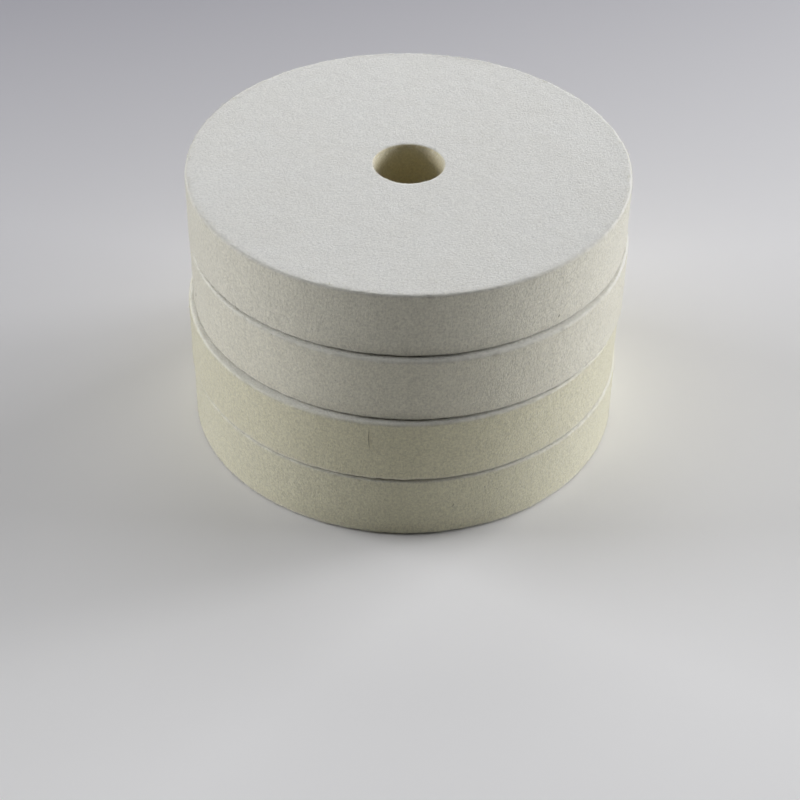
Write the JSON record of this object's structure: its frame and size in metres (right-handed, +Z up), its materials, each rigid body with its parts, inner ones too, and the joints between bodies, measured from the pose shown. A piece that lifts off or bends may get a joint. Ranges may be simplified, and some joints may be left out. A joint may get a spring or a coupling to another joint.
{
  "type": "felt polishing wheel",
  "caption": "Stack of thick plain felt polishing wheels with straight centre bores; each loose wheel lifts off the one below.",
  "frame": {"origin": "on the surface that the stack stands on, under the middle of the stack's outline", "axes": "+Z up along the wheels' bores; +X to the right and -Y to the front, as the stack is usually seen"},
  "size_m": [0.1262, 0.129, 0.08],
  "materials": {
    "bottom_wheel_felt": "matte",
    "third_wheel_felt": "matte",
    "second_wheel_felt": "matte",
    "top_wheel_felt": "matte"
  },
  "bodies": {
    "bottom_wheel": {"bottom_felt_wheel": "bottom_wheel_felt"},
    "third_wheel": {"third_felt_wheel": "third_wheel_felt"},
    "second_wheel": {"second_felt_wheel": "second_wheel_felt"},
    "top_wheel": {"top_felt_wheel": "top_wheel_felt"}
  },
  "joints": [
    {"name": "third_wheel_lift", "type": "slide", "parent": "bottom_wheel", "child": "third_wheel", "axis": [0, 0, 1], "range_m": [0, 0.06]},
    {"name": "second_wheel_lift", "type": "slide", "parent": "third_wheel", "child": "second_wheel", "axis": [0, 0, 1], "range_m": [0, 0.06]},
    {"name": "top_wheel_lift", "type": "slide", "parent": "second_wheel", "child": "top_wheel", "axis": [0, 0, 1], "range_m": [0, 0.06]}
  ]
}
